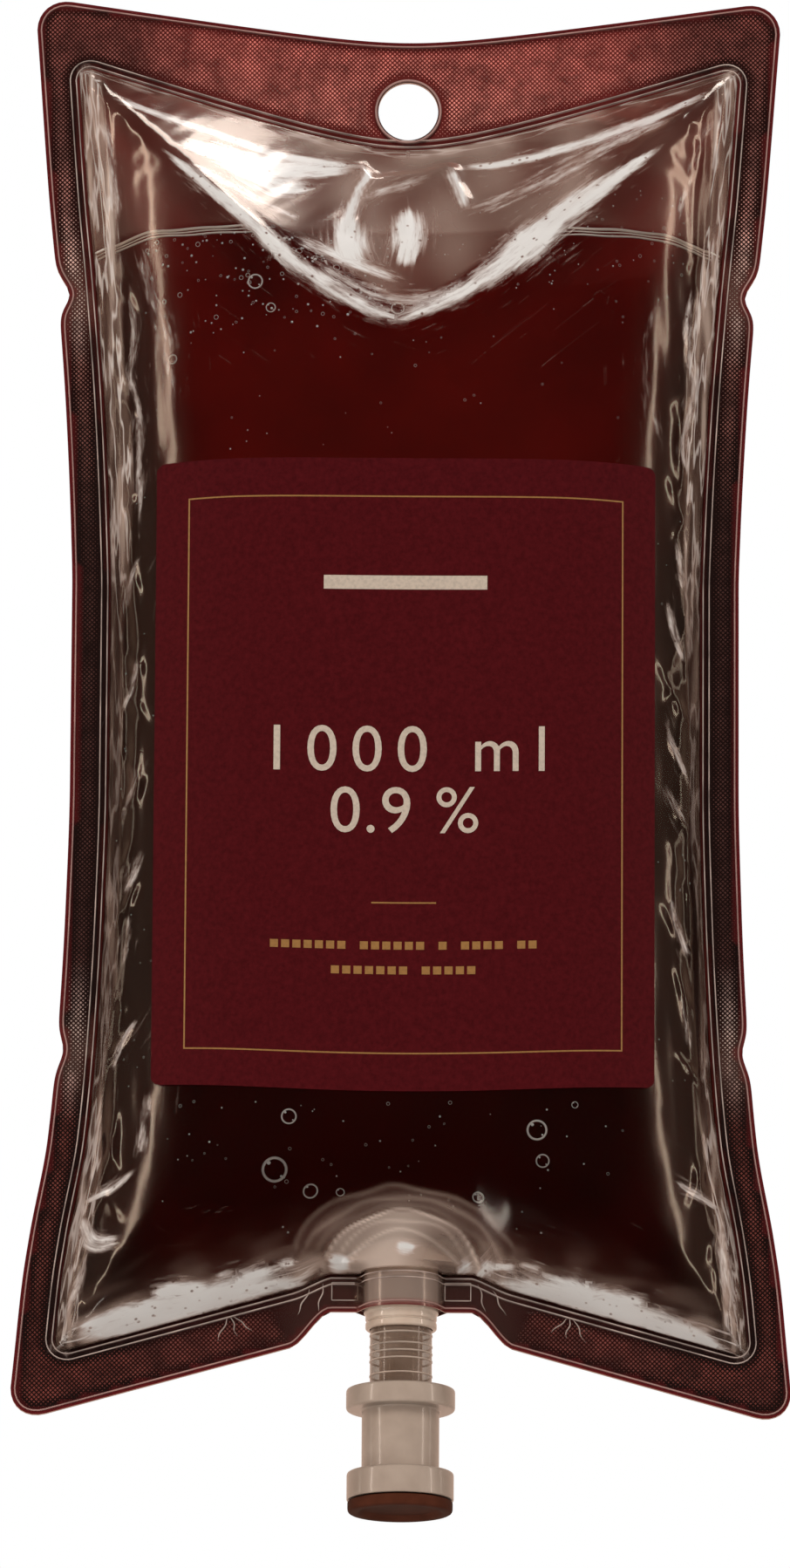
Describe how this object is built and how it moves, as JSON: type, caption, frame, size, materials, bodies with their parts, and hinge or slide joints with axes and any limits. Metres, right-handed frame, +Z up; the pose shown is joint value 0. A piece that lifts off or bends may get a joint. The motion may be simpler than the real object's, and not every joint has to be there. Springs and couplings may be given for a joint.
{
  "type": "intravenous fluid bag",
  "caption": "Flat welded fluid bag, filled and hanging from a hole in its top seal, with a paper label on the front and a spiking port with a rubber closure at the bottom.",
  "frame": {"origin": "centre of the hanger hole in the top seal, midway between the two film sheets", "axes": "+Z up along the hanging bag, front with the label towards -Y, +X to the right of someone who faces the label"},
  "size_m": [0.166, 0.0476, 0.334],
  "materials": {
    "clear_film": "glossy clear plastic film",
    "wine_film": "glossy film that reads dark wine red",
    "saline": "clear liquid that takes the film's colour",
    "label_paper": "satin printed paper",
    "port_clear": "clear plastic tube",
    "closure_cream": "smooth moulded plastic",
    "septum_rubber": "satin rubber"
  },
  "bodies": {
    "root": {"front_film": "clear_film", "back_film": "wine_film", "saline": "saline", "label": "label_paper", "port_boat": "port_clear", "membrane_tube": "port_clear", "closure_housing": "closure_cream", "retainer_ring": "closure_cream", "septum": "septum_rubber"}
  },
  "joints": []
}
